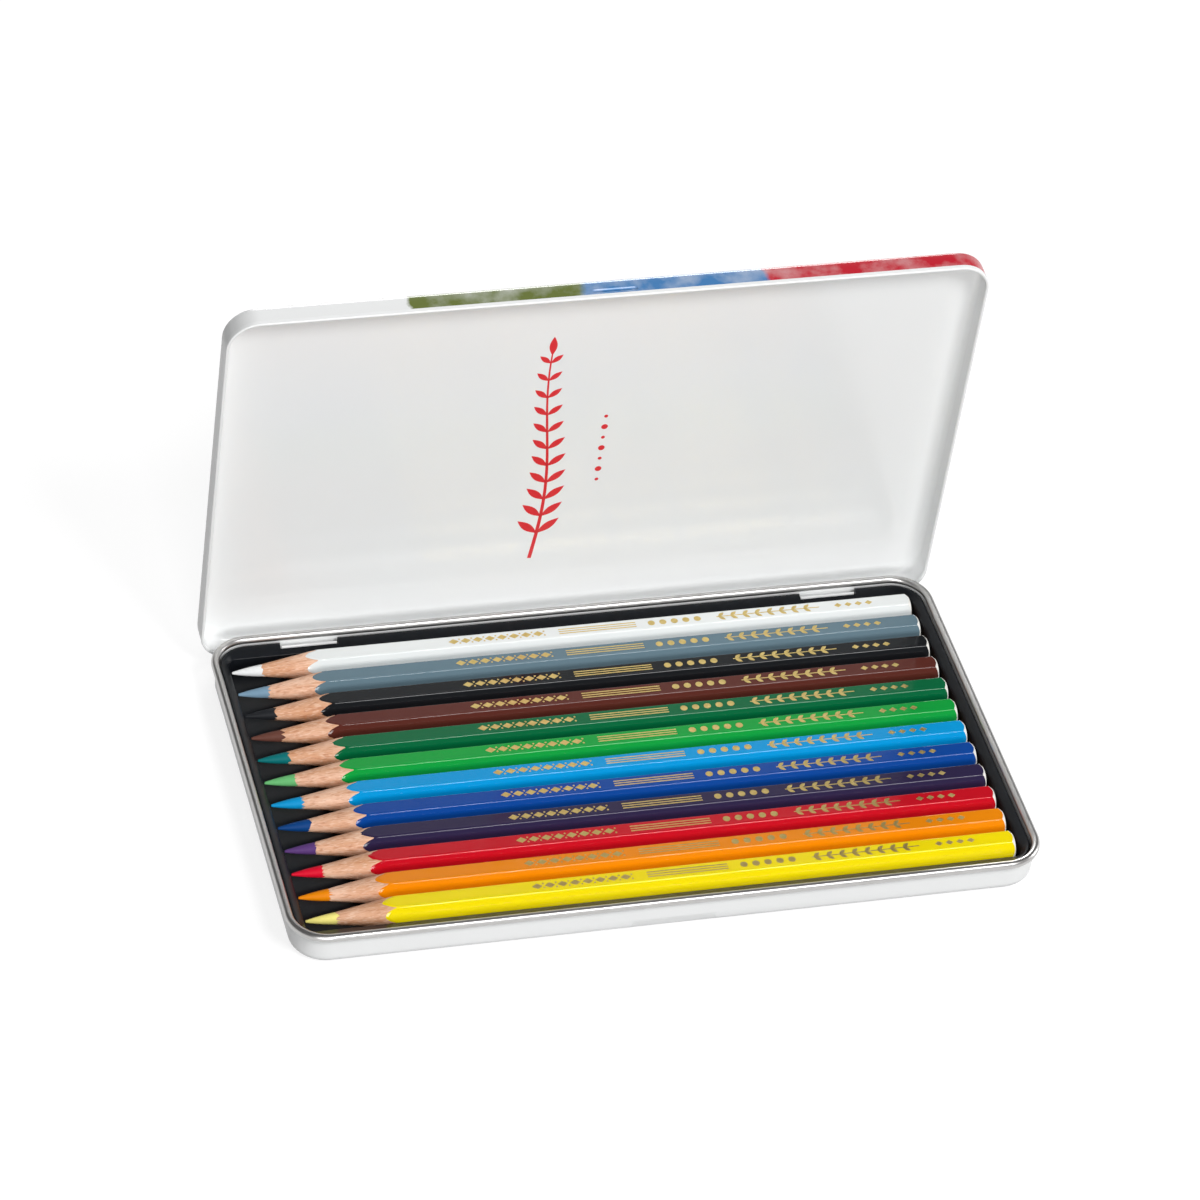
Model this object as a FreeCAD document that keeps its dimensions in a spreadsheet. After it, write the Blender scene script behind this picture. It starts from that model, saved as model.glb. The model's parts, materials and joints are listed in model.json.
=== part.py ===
import FreeCAD, Part
import math
import os
import Sketcher

# Watercolour pencil set: a shallow tin with a hinged lid, a formed tray and twelve hexagonal pencils.
# Millimetres and degrees. The origin is the centre of the tin's underside, +X runs along the pencils
# to their flat ends, +Y to the hinge and +Z up. The lid stands open, at the stop of its hinge.

# Pencil colours from the hinge to the front
COLOURS = (
    "white", "slate", "black", "brown", "pine", "green",
    "sky", "blue", "violet", "red", "orange", "yellow",
)

# Driving dimensions: name, value
SIZES = (
    # Pencils
    ("pencil_length", 175.0),
    ("pencil_flats", 6.93),
    ("pencil_gap", 0.113),
    ("pencil_edge", 0.6),
    ("lead_diameter", 2.95),
    ("lead_showing", 7.2),
    ("lead_tip", 0.28),
    ("lacquer_coat", 0.15),
    ("end_bevel_slope", 1.3),
    # Tray
    ("tray_sheet", 0.5),
    ("tray_stand", 1.58),
    ("tray_drop", 1.7),
    ("tray_gap", 0.3),
    ("tray_edge", 0.3),
    ("skirt_height", 4.5),
    ("recess_corner", 2.4),
    ("recess_tip_gap", 0.4),
    ("recess_end_gap", 1.6),
    ("recess_side_gap", 0.2),
    ("ledge_end", 2.45),
    ("ledge_side", 3.47),
    ("ledge_lip", 0.6),
    ("ledge_fall", 1.3),
    ("seat_gap", 0.05),
    ("ridge_gap", 0.3),
    ("ridge_height", 2.4),
    ("ridge_tip_end", 24.0),
    ("ridge_flat_end", 8.0),
    # Base
    ("tin_sheet", 0.3),
    ("tin_corner", 8.8),
    ("base_foot", 2.0),
    ("rim_rise", 0.14),
    ("curl_radius", 1.0),
    ("curl_offset", 0.2),
    ("curl_start", 82.0),
    ("curl_mouth", 38.0),
    ("scoop_width", 20.5),
    ("scoop_height", 3.2),
    ("scoop_depth", 0.8),
    # Lid
    ("lid_depth", 6.5),
    ("lid_overlap", 3.64),
    ("lid_gap", 0.25),
    ("lid_rear_room", 1.8),
    ("lid_corner", 8.0),
    ("lid_edge", 1.6),
    ("hem_thickness", 0.75),
    ("hem_height", 1.1),
    ("hem_round", 0.3),
    ("dimple_length", 11.3),
    ("dimple_radius", 0.7),
    ("dimple_set_out", 0.32),
    ("dimple_rise", 2.3),
    # Hinge
    ("hinge_back", 0.6),
    ("hinge_drop", 3.72),
    ("open_angle", 84.65),
    ("tongue_width", 14.0),
    ("tongue_spacing", 134.6),
    ("tongue_root", 12.0),
    ("tongue_reach", 148.0),
    ("slot_gap", 0.35),
    ("notch_gap", 0.35),
)

doc = FreeCAD.newDocument("PencilSet")
sheet = doc.addObject("Spreadsheet::Sheet", "Sizes")
for row, (alias, size) in enumerate(SIZES, start=1):
    sheet.set(f"A{row}", alias)
    sheet.set(f"B{row}", str(size))
    sheet.setAlias(f"B{row}", alias)
doc.recompute()

# Sizes that follow from the driving ones, as expressions on the sheet
COUNT = len(COLOURS)
NEAR = 1e-4
S = "Sizes."
PENCIL_CORNERS = f"({S}pencil_flats / cos(30))"
PENCIL_PITCH = f"({PENCIL_CORNERS} + {S}pencil_gap)"
CONE_SLOPE = f"(({S}lead_diameter / 2 - {S}lead_tip) / {S}lead_showing)"
RECESS_X = f"(({S}pencil_length + {S}recess_tip_gap + {S}recess_end_gap) / 2)"
RECESS_Y = f"({(COUNT - 1) / 2} * {PENCIL_PITCH} + {PENCIL_CORNERS} / 2 + {S}recess_side_gap)"
TRAY_X = f"({RECESS_X} + {S}ledge_end)"
TRAY_Y = f"({RECESS_Y} + {S}ledge_side)"
CURL_X = f"({TRAY_X} + {S}tray_gap + {S}curl_radius)"
CURL_Y = f"({TRAY_Y} + {S}tray_gap + {S}curl_radius)"
WALL_X = f"({CURL_X} - {S}curl_offset)"
WALL_Y = f"({CURL_Y} - {S}curl_offset)"
TRAY_FLOOR = f"({S}tin_sheet + {S}tray_stand + {S}tray_sheet)"
PENCIL_SEAT = f"({TRAY_FLOOR} + {S}seat_gap)"
RIM_TOP = f"({PENCIL_SEAT} + {S}pencil_flats + {S}rim_rise)"
CURL_Z = f"({RIM_TOP} - {S}curl_radius)"
LEDGE_Z = f"({RIM_TOP} - {S}tray_drop)"
BRINK_Z = f"({LEDGE_Z} - {S}ledge_fall)"
LID_MARGIN = f"({S}curl_radius + {S}lid_gap + {S}hem_thickness)"
LID_X = f"({CURL_X} + {LID_MARGIN})"
LID_FRONT = f"({CURL_Y} + {LID_MARGIN})"
LID_REAR = f"({LID_FRONT} + {S}lid_rear_room)"
HINGE_Y = f"({WALL_Y} + {S}hinge_back)"
HINGE_Z = f"({RIM_TOP} - {S}hinge_drop)"
LID_RIM = f"({RIM_TOP} - {S}lid_overlap - {HINGE_Z})"
TONGUE_RADIUS = f"({LID_REAR} - {S}hem_thickness / 2 - {HINGE_Y})"
SLOT_Z = f"({HINGE_Z} - sqrt({TONGUE_RADIUS} ^ 2 - ({S}hinge_back + {S}tin_sheet / 2) ^ 2))"


def number(expression):
    """The value of an expression on the sheet, in millimetres or degrees."""
    result = sheet.evalExpression(expression)
    return float(getattr(result, "Value", result))


def new_sketch(body, name, plane, offset=None):
    """A sketch on one of the body's own origin planes, moved along that plane's normal."""
    sketch = body.newObject("Sketcher::SketchObject", name)
    support = next(f for f in body.Origin.OriginFeatures if f.Role == plane)
    sketch.AttachmentSupport = (support, [""])
    sketch.MapMode = "FlatFace"
    if offset is not None:
        sketch.setExpression("AttachmentOffset.Base.z", offset)
    return sketch


def bind(sketch, name, constraint, expression):
    """Adds a dimension to a sketch and ties it to the sheet."""
    index = sketch.addConstraint(constraint)
    sketch.renameConstraint(index, name)
    sketch.setExpression(f"Constraints.{name}", expression)


def rounded_rectangle(sketch, half_x, front, rear, radius, tag="outline", split_front=False):
    """A rectangle with round corners about the origin, its sides at half_x, -front and rear.

    split_front starts the outline at the middle of its front side, where a swept section stands.
    """
    x, low, high, r = number(half_x), -number(front), number(rear), number(radius)
    corners = [(x - r, low + r, 270), (x - r, high - r, 0), (-x + r, high - r, 90), (-x + r, low + r, 180)]
    first = (0, low) if split_front else (-x + r, low)
    sides = [(first, (x - r, low)), ((x, low + r), (x, high - r)),
             ((x - r, high), (-x + r, high)), ((-x, high - r), (-x, low + r))]
    loop = []
    for (start, end), (cx, cy, quarter) in zip(sides, corners):
        line = Part.LineSegment(FreeCAD.Vector(*start, 0), FreeCAD.Vector(*end, 0))
        circle = Part.Circle(FreeCAD.Vector(cx, cy, 0), FreeCAD.Vector(0, 0, 1), r)
        loop.append(sketch.addGeometry(line, False))
        loop.append(sketch.addGeometry(
            Part.ArcOfCircle(circle, math.radians(quarter), math.radians(quarter + 90)), False))
    if split_front:
        half = Part.LineSegment(FreeCAD.Vector(-x + r, low, 0), FreeCAD.Vector(0, low, 0))
        loop.append(sketch.addGeometry(half, False))
    front_line, right_line, rear_line, left_line = loop[0:8:2]
    for before, after in zip(loop, loop[1:] + loop[:1]):
        kind = "Coincident" if split_front and after == loop[0] else "Tangent"
        sketch.addConstraint(Sketcher.Constraint(kind, before, 2, after, 1))
    sketch.addConstraint(Sketcher.Constraint("Horizontal", front_line))
    sketch.addConstraint(Sketcher.Constraint("Vertical", right_line))
    if split_front:
        sketch.addConstraint(Sketcher.Constraint("PointOnObject", front_line, 1, -2))
    for arc in loop[3:8:2]:
        sketch.addConstraint(Sketcher.Constraint("Equal", loop[1], arc))
    bind(sketch, tag + "_radius", Sketcher.Constraint("Radius", loop[1], r), radius)
    bind(sketch, tag + "_right", Sketcher.Constraint("DistanceX", -1, 1, right_line, 1, x), half_x)
    bind(sketch, tag + "_left", Sketcher.Constraint("DistanceX", left_line, 1, -1, 1, x), half_x)
    bind(sketch, tag + "_rear", Sketcher.Constraint("DistanceY", -1, 1, rear_line, 1, high), rear)
    bind(sketch, tag + "_front", Sketcher.Constraint("DistanceY", front_line, 2, -1, 1, -low), front)


def polygon(sketch, points, tag="point"):
    """A closed outline of straight sides, each corner tied to the sheet by its two coordinates."""
    places = [(number(u), number(v)) for u, v in points]
    ends = places[1:] + places[:1]
    lines = [sketch.addGeometry(Part.LineSegment(FreeCAD.Vector(*a, 0), FreeCAD.Vector(*b, 0)), False)
             for a, b in zip(places, ends)]
    for line, after in zip(lines, lines[1:] + lines[:1]):
        sketch.addConstraint(Sketcher.Constraint("Coincident", line, 2, after, 1))
    for index, (line, (u, v), (u_text, v_text)) in enumerate(zip(lines, places, points)):
        bind(sketch, f"{tag}{index}_u", Sketcher.Constraint("DistanceX", -1, 1, line, 1, u), u_text)
        bind(sketch, f"{tag}{index}_v", Sketcher.Constraint("DistanceY", -1, 1, line, 1, v), v_text)


def ring_section(sketch, centre, outer, inner, start, end):
    """A strip bent to an arc about a centre, between two radii, anticlockwise from start to end."""
    u, v = (number(text) for text in centre)
    far, near = number(outer), number(inner)
    first, last = (math.radians(number(text)) for text in (start, end))
    middle = FreeCAD.Vector(u, v, 0)
    normal = FreeCAD.Vector(0, 0, 1)

    def place(radius, angle):
        return FreeCAD.Vector(u + radius * math.cos(angle), v + radius * math.sin(angle), 0)

    out_arc = sketch.addGeometry(Part.ArcOfCircle(Part.Circle(middle, normal, far), first, last), False)
    in_arc = sketch.addGeometry(Part.ArcOfCircle(Part.Circle(middle, normal, near), first, last), False)
    start_line = sketch.addGeometry(Part.LineSegment(place(near, first), place(far, first)), False)
    end_line = sketch.addGeometry(Part.LineSegment(place(far, last), place(near, last)), False)
    for a, a_end, b, b_end in ((start_line, 2, out_arc, 1), (out_arc, 2, end_line, 1),
                               (end_line, 2, in_arc, 2), (in_arc, 1, start_line, 1),
                               (out_arc, 3, in_arc, 3)):
        sketch.addConstraint(Sketcher.Constraint("Coincident", a, a_end, b, b_end))
    bind(sketch, "outer", Sketcher.Constraint("Radius", out_arc, far), outer)
    bind(sketch, "inner", Sketcher.Constraint("Radius", in_arc, near), inner)
    if centre == ("0", "0"):
        sketch.addConstraint(Sketcher.Constraint("Coincident", out_arc, 3, -1, 1))
    else:
        bind(sketch, "centre_u", Sketcher.Constraint("DistanceX", -1, 1, out_arc, 3, u), centre[0])
        bind(sketch, "centre_v", Sketcher.Constraint("DistanceY", -1, 1, out_arc, 3, v), centre[1])
    for name, line, angle, text in (("start_angle", start_line, first, start),
                                    ("end_angle", end_line, last + math.pi, f"{end} + 180")):
        bind(sketch, name, Sketcher.Constraint("Angle", line, angle), f"({text}) * 1 deg")


def add(body, kind, sketch, length=None, flip=False, both_ways=False):
    """A pad, pocket or other feature on a sketch."""
    feature = body.newObject(f"PartDesign::{kind}", sketch.Name + kind)
    feature.Profile = sketch
    if length is not None:
        feature.setExpression("Length", length)
    feature.Reversed = flip
    if both_ways:
        feature.SideType = "Symmetric"
    doc.recompute()
    return feature


def turn(body, kind, sketch, axis="H_Axis"):
    """A full revolution or groove of a sketch about its horizontal axis or one of its own edges."""
    feature = body.newObject(f"PartDesign::{kind}", sketch.Name + kind)
    feature.Profile = sketch
    feature.ReferenceAxis = (sketch, [axis])
    feature.Angle = 360
    doc.recompute()
    return feature


def round_edges(body, name, test, radius):
    """A fillet on the edges of the body's last feature whose box passes a test."""
    base = body.Tip
    chosen = [f"Edge{i}" for i, edge in enumerate(base.Shape.Edges, start=1) if test(edge.BoundBox)]
    feature = body.newObject("PartDesign::Fillet", name)
    feature.Base = (base, chosen)
    feature.setExpression("Radius", radius)
    doc.recompute()
    return feature


def level(height):
    """A test for edges that lie flat at a height."""
    z = number(height)

    def test(box):
        return abs(box.ZMin - z) < NEAR and abs(box.ZMax - z) < NEAR
    return test


def mirror_across(body, feature):
    """A copy of a feature on the other side of the body's own middle plane."""
    support = next(f for f in body.Origin.OriginFeatures if f.Role == "YZ_Plane")
    mirrored = body.newObject("PartDesign::Mirrored", feature.Name + "Mirrored")
    mirrored.Originals = [feature]
    mirrored.MirrorPlane = (support, [""])
    body.Tip = mirrored
    doc.recompute()
    return mirrored


def make_base():
    """The drawn base: floor, walls, rolled rim, finger scoop and hinge slots."""
    body = doc.addObject("PartDesign::Body", "base_shell")
    sheet_in = f"{S}tin_sheet"
    outer = new_sketch(body, "BaseOutline", "XY_Plane")
    rounded_rectangle(outer, WALL_X, WALL_Y, WALL_Y, f"{S}tin_corner")
    curl_mid = f"({S}curl_radius - {sheet_in} / 2)"
    wall_top = f"({CURL_Z} - sqrt({curl_mid} ^ 2 - ({S}curl_offset + {sheet_in} / 2) ^ 2))"
    add(body, "Pad", outer, wall_top)
    inside = new_sketch(body, "BaseInside", "XY_Plane", wall_top)
    rounded_rectangle(inside, f"{WALL_X} - {sheet_in}", f"{WALL_Y} - {sheet_in}", f"{WALL_Y} - {sheet_in}",
                      f"{S}tin_corner - {sheet_in}")
    add(body, "Pocket", inside, f"{wall_top} - {sheet_in}")
    round_edges(body, "BaseFootInside", level(sheet_in), f"{S}base_foot - {sheet_in}")
    # The finger scoop is a slanted pane let into the foot of the front wall
    wall_mid = f"(-{WALL_Y} + {sheet_in} / 2)"
    slope = f"({S}scoop_depth / {S}scoop_height)"
    pane_back = f"(-{WALL_Y} + {sheet_in} * sqrt(1 + {slope} ^ 2))"
    behind = new_sketch(body, "ScoopBehind", "YZ_Plane")
    polygon(behind, [(wall_mid, f"{S}scoop_height"),
                     (pane_back, f"{S}scoop_height"),
                     (f"{pane_back} + {slope} * ({S}scoop_height - {sheet_in} / 2)", f"{sheet_in} / 2"),
                     (wall_mid, f"{sheet_in} / 2")])
    add(body, "Pad", behind, f"{S}scoop_width + 2 * {sheet_in}", both_ways=True)
    round_edges(body, "BaseFoot", level("0"), f"{S}base_foot")
    scoop = new_sketch(body, "Scoop", "YZ_Plane")
    polygon(scoop, [(f"-{WALL_Y}", f"{S}scoop_height"),
                    (f"-{WALL_Y} + {S}scoop_depth", "0"),
                    (f"-{WALL_Y} - {S}scoop_depth", "0"),
                    (f"-{WALL_Y} - {S}scoop_depth", f"{S}scoop_height")])
    add(body, "Pocket", scoop, f"{S}scoop_width", both_ways=True)
    # The rim is rolled outward over the top of the wall into a hollow curl
    path = new_sketch(body, "CurlPath", "XY_Plane", CURL_Z)
    rounded_rectangle(path, CURL_X, CURL_Y, CURL_Y, f"{S}tin_corner + {S}curl_offset", split_front=True)
    section = new_sketch(body, "CurlSection", "YZ_Plane")
    ring_section(section, (f"-{CURL_Y}", CURL_Z), f"{S}curl_radius", f"{S}curl_radius - {sheet_in}",
                 f"-{S}curl_start", f"360 - {S}curl_start - {S}curl_mouth")
    curl = body.newObject("PartDesign::AdditivePipe", "Curl")
    curl.Profile = section
    curl.Spine = (path, [])
    doc.recompute()
    # The hinge slots let the lid's tongues through the rear wall
    slots = new_sketch(body, "HingeSlots", "XZ_Plane", f"-({WALL_Y} - {sheet_in} - {S}slot_gap)")
    for side, tag in ((1, "right"), (-1, "left")):
        near = f"({side} * ({S}tongue_spacing - {S}tongue_width) / 2 - {side} * {S}slot_gap)"
        far = f"({side} * ({S}tongue_spacing + {S}tongue_width) / 2 + {side} * {S}slot_gap)"
        half = f"({sheet_in} / 2 + {S}slot_gap)"
        polygon(slots, [(near, f"{SLOT_Z} - {half}"), (far, f"{SLOT_Z} - {half}"),
                        (far, f"{SLOT_Z} + {half}"), (near, f"{SLOT_Z} + {half}")], tag)
    add(body, "Pocket", slots, f"{sheet_in} + 2 * {S}slot_gap")
    return body


def bar_section(sketch, v, half, radius):
    """The half of a round-ended bar above its axis at height v: an arc, a side, an arc and the axis."""
    y, x, r = number(v), number(half), number(radius)

    def corner(u, w):
        return FreeCAD.Vector(u, w, 0)

    def quarter(u, start):
        circle = Part.Circle(corner(u, y), FreeCAD.Vector(0, 0, 1), r)
        return sketch.addGeometry(Part.ArcOfCircle(circle, start, start + math.pi / 2), False)

    right = quarter(x, 0)
    side = sketch.addGeometry(Part.LineSegment(corner(x, y + r), corner(-x, y + r)), False)
    left = quarter(-x, math.pi / 2)
    axis = sketch.addGeometry(Part.LineSegment(corner(-x - r, y), corner(x + r, y)), False)
    for a, a_end, b, b_end in ((right, 2, side, 1), (side, 2, left, 1)):
        sketch.addConstraint(Sketcher.Constraint("Tangent", a, a_end, b, b_end))
    for a, a_end, b, b_end in ((left, 2, axis, 1), (axis, 2, right, 1)):
        sketch.addConstraint(Sketcher.Constraint("Coincident", a, a_end, b, b_end))
    sketch.addConstraint(Sketcher.Constraint("Horizontal", axis))
    sketch.addConstraint(Sketcher.Constraint("Equal", left, right))
    sketch.addConstraint(Sketcher.Constraint("PointOnObject", right, 3, axis))
    bind(sketch, "radius", Sketcher.Constraint("Radius", right, r), radius)
    bind(sketch, "right", Sketcher.Constraint("DistanceX", -1, 1, right, 3, x), half)
    bind(sketch, "left", Sketcher.Constraint("DistanceX", left, 3, -1, 1, x), half)
    bind(sketch, "height", Sketcher.Constraint("DistanceY", -1, 1, axis, 1, y), v)


def make_lid():
    """The drawn lid, modelled shut about the hinge axis and then turned open."""
    body = doc.addObject("PartDesign::Body", "lid_shell")
    sheet_in = f"{S}tin_sheet"
    front = f"({LID_FRONT} + {HINGE_Y})"
    rear = f"({LID_REAR} - {HINGE_Y})"

    def outline(sketch, inset="0", tag="outline"):
        rounded_rectangle(sketch, f"{LID_X} - {inset}", f"{front} - {inset}", f"{rear} - {inset}",
                          f"{S}lid_corner - {inset}", tag)

    outer = new_sketch(body, "LidOutline", "XY_Plane", LID_RIM)
    outline(outer)
    add(body, "Pad", outer, f"{S}lid_depth")
    top = f"{LID_RIM} + {S}lid_depth"
    inside = new_sketch(body, "LidInside", "XY_Plane", LID_RIM)
    outline(inside, sheet_in)
    add(body, "Pocket", inside, f"{S}lid_depth - {sheet_in}", flip=True)
    round_edges(body, "LidEdgeInside", level(f"{top} - {sheet_in}"), f"{S}lid_edge - {sheet_in}")
    round_edges(body, "LidEdge", level(top), f"{S}lid_edge")
    # The hem doubles the sheet along the open edge
    hem = new_sketch(body, "Hem", "XY_Plane", LID_RIM)
    outline(hem, tag="outside")
    outline(hem, f"{S}hem_thickness", "inside")
    add(body, "Pad", hem, f"{S}hem_height")
    round_edges(body, "HemRound", level(LID_RIM), f"{S}hem_round")
    # The snap dimple is a groove pressed into the middle of the front wall: a bar of sheet on its inside,
    # cut off level with the wall's face and then hollowed
    dimple_y = f"(-{front} - {S}dimple_set_out)"
    dimple_z = f"({LID_RIM} + {S}dimple_rise)"
    dimple_half = f"({S}dimple_length / 2 - {S}dimple_radius)"
    skin_radius = f"({S}dimple_radius + {sheet_in})"
    skin = new_sketch(body, "DimpleSkin", "XY_Plane", dimple_z)
    bar_section(skin, dimple_y, dimple_half, skin_radius)
    turn(body, "Revolution", skin, "Edge4")
    trim = new_sketch(body, "DimpleTrim", "XY_Plane", dimple_z)
    trim_half = f"({S}dimple_length / 2 + {skin_radius})"
    trim_out = f"(-{front} - {S}dimple_set_out - 2 * {skin_radius})"
    polygon(trim, [(f"-{trim_half}", trim_out), (trim_half, trim_out),
                   (trim_half, f"-{front}"), (f"-{trim_half}", f"-{front}")])
    add(body, "Pocket", trim, f"4 * {skin_radius}", both_ways=True)
    hollow = new_sketch(body, "Dimple", "XY_Plane", dimple_z)
    bar_section(hollow, dimple_y, dimple_half, f"{S}dimple_radius")
    turn(body, "Groove", hollow, "Edge4")
    # Each tongue is a strip of the sheet curled about the hinge axis
    tongue = new_sketch(body, "Tongue", "YZ_Plane", f"{S}tongue_spacing / 2")
    ring_section(tongue, ("0", "0"), f"{TONGUE_RADIUS} + {sheet_in} / 2", f"{TONGUE_RADIUS} - {sheet_in} / 2",
                 f"-{S}tongue_reach", f"{S}tongue_root")
    pad = add(body, "Pad", tongue, f"{S}tongue_width", both_ways=True)
    mirror_across(body, pad)
    body.Placement.Rotation = FreeCAD.Rotation(FreeCAD.Vector(-1, 0, 0), number(f"{S}open_angle"))
    body.setExpression("Placement.Rotation.Angle", f"{S}open_angle * 1 deg")
    body.setExpression("Placement.Base.y", HINGE_Y)
    body.setExpression("Placement.Base.z", HINGE_Z)
    return body


def make_tray():
    """The formed tray: a ledge round a recess, ridges between the pencils, notches for the tongues."""
    body = doc.addObject("PartDesign::Body", "pencil_tray")
    wall = f"{S}tray_sheet"
    corner = f"({S}tin_corner + {S}curl_offset - {S}curl_radius - {S}tray_gap)"
    skirt_foot = f"({LEDGE_Z} - {S}skirt_height)"

    def recess_outline(sketch, outset="0", tag="outline"):
        half_y = f"{RECESS_Y} + {outset}"
        rounded_rectangle(sketch, f"{RECESS_X} + {outset}", half_y, half_y,
                          f"{S}recess_corner + {outset}", tag)

    outer = new_sketch(body, "TrayOutline", "XY_Plane", skirt_foot)
    rounded_rectangle(outer, TRAY_X, TRAY_Y, TRAY_Y, corner)
    add(body, "Pad", outer, f"{S}skirt_height")
    # The well stands on the foot of its own wall, a little above the base's floor
    well = new_sketch(body, "Well", "XY_Plane", f"{S}tin_sheet")
    recess_outline(well, wall)
    add(body, "Pad", well, f"{LEDGE_Z} - {S}tin_sheet")
    round_edges(body, "LedgeEdge", level(LEDGE_Z), f"{S}tray_edge")
    # Inside a narrow lip the ledge falls towards the recess
    lip = new_sketch(body, "LedgeLip", "XY_Plane", LEDGE_Z)
    lip_y = f"{TRAY_Y} - {S}ledge_lip"
    rounded_rectangle(lip, f"{TRAY_X} - {S}ledge_lip", lip_y, lip_y, f"{corner} - {S}ledge_lip")
    brink = new_sketch(body, "RecessBrink", "XY_Plane", BRINK_Z)
    recess_outline(brink)
    slope = body.newObject("PartDesign::SubtractiveLoft", "LedgeSlope")
    slope.Profile = lip
    slope.Sections = [brink]
    slope.Ruled = True
    doc.recompute()
    recess = new_sketch(body, "Recess", "XY_Plane", LEDGE_Z)
    recess_outline(recess)
    add(body, "Pocket", recess, f"{LEDGE_Z} - {TRAY_FLOOR}")
    round_edges(body, "RecessEdge", level(BRINK_Z), f"{S}tray_edge")
    under = new_sketch(body, "UnderFloor", "XY_Plane", f"{S}tin_sheet")
    recess_outline(under)
    add(body, "Pocket", under, f"{S}tray_stand", flip=True)
    channel = new_sketch(body, "UnderLedge", "XY_Plane", skirt_foot)
    rounded_rectangle(channel, f"{TRAY_X} - {wall}", f"{TRAY_Y} - {wall}", f"{TRAY_Y} - {wall}",
                      f"{corner} - {wall}", "outside")
    recess_outline(channel, wall, "inside")
    add(body, "Pocket", channel, f"{S}skirt_height - {S}ledge_fall - {wall}", flip=True)
    # One ridge stands between each pair of pencils, its sides along their lower facets
    ridge = new_sketch(body, "Ridge", "YZ_Plane", f"-{RECESS_X} + {S}ridge_tip_end")
    middle = f"({(COUNT - 2) / 2} * {PENCIL_PITCH})"
    foot = f"(({PENCIL_PITCH} - {PENCIL_CORNERS} / 2) / 2 - {S}ridge_gap / cos(30))"
    crest = f"({foot} - {S}ridge_height * tan(30))"
    polygon(ridge, [(f"-{middle} - {foot}", TRAY_FLOOR), (f"-{middle} + {foot}", TRAY_FLOOR),
                    (f"-{middle} + {crest}", f"{TRAY_FLOOR} + {S}ridge_height"),
                    (f"-{middle} - {crest}", f"{TRAY_FLOOR} + {S}ridge_height")])
    bar = add(body, "Pad", ridge, f"2 * {RECESS_X} - {S}ridge_tip_end - {S}ridge_flat_end")
    row = body.newObject("PartDesign::LinearPattern", "Ridges")
    row.Originals = [bar]
    row.Direction = (next(f for f in body.Origin.OriginFeatures if f.Role == "Y_Axis"), [""])
    row.Occurrences = COUNT - 1
    row.setExpression("Length", f"{COUNT - 2} * {PENCIL_PITCH}")
    body.Tip = row
    doc.recompute()
    # The notches keep the rear ledge clear of the tongues as they swing
    notches = new_sketch(body, "TongueNotches", "XY_Plane", LEDGE_Z)
    swing = f"({HINGE_Y} - {TONGUE_RADIUS} - {S}tin_sheet / 2 - {S}notch_gap)"
    for side, tag in ((1, "right"), (-1, "left")):
        near = f"({side} * ({S}tongue_spacing - {S}tongue_width) / 2 - {side} * {S}notch_gap)"
        far = f"({side} * ({S}tongue_spacing + {S}tongue_width) / 2 + {side} * {S}notch_gap)"
        past = f"{TRAY_Y} + {wall}"
        polygon(notches, [(near, swing), (far, swing), (far, past), (near, past)], tag)
    add(body, "Pocket", notches, LEDGE_Z)
    return body


def hexagon(sketch, flats):
    """A hexagon about the origin with a flat on top."""
    half = number(flats) / 2
    radius = half / math.cos(math.pi / 6)
    places = [FreeCAD.Vector(radius * math.cos(i * math.pi / 3), radius * math.sin(i * math.pi / 3), 0)
              for i in range(6)]
    lines = [sketch.addGeometry(Part.LineSegment(a, b), False)
             for a, b in zip(places, places[1:] + places[:1])]
    circle = sketch.addGeometry(Part.Circle(FreeCAD.Vector(), FreeCAD.Vector(0, 0, 1), radius), True)
    for line, after in zip(lines, lines[1:] + lines[:1]):
        sketch.addConstraint(Sketcher.Constraint("Coincident", line, 2, after, 1))
        sketch.addConstraint(Sketcher.Constraint("PointOnObject", line, 1, circle))
    for line in lines[1:]:
        sketch.addConstraint(Sketcher.Constraint("Equal", lines[0], line))
    sketch.addConstraint(Sketcher.Constraint("Coincident", circle, 3, -1, 1))
    sketch.addConstraint(Sketcher.Constraint("Horizontal", lines[1]))
    bind(sketch, "half_flats", Sketcher.Constraint("DistanceY", -1, 1, lines[1], 1, half), f"({flats}) / 2")


def sharpen(body, name):
    """Cuts the tip end of a pencil piece to the cone of a sharpener."""
    sketch = new_sketch(body, name, "XZ_Plane")
    wide = f"{S}pencil_flats"
    reach = f"(({wide} - {S}lead_tip) / {CONE_SLOPE})"
    polygon(sketch, [("0", f"{S}lead_tip"), (reach, wide), ("0", wide)])
    return turn(body, "Groove", sketch)


def bevel_end(body, name):
    """Turns a bevel on the flat end of a pencil piece, which takes the coat off the rim of that end."""
    sketch = new_sketch(body, name, "XZ_Plane")
    low = f"({S}pencil_flats / 2 - {S}lacquer_coat)"
    wide = f"{S}pencil_flats"
    polygon(sketch, [(f"{S}pencil_length", low), (f"{S}pencil_length", wide),
                     (f"{S}pencil_length - {S}end_bevel_slope * ({wide} - {low})", wide)])
    return turn(body, "Groove", sketch)


def hexagon_corners(flats):
    """A test for the lengthwise edges at the corners of a hexagonal bar."""
    corner = number(f"({flats}) / 2 / cos(30)")

    def test(box):
        far = math.hypot(max(abs(box.YMin), abs(box.YMax)), max(abs(box.ZMin), abs(box.ZMax)))
        return box.YLength < NEAR and box.ZLength < NEAR and abs(far - corner) < NEAR
    return test


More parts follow.
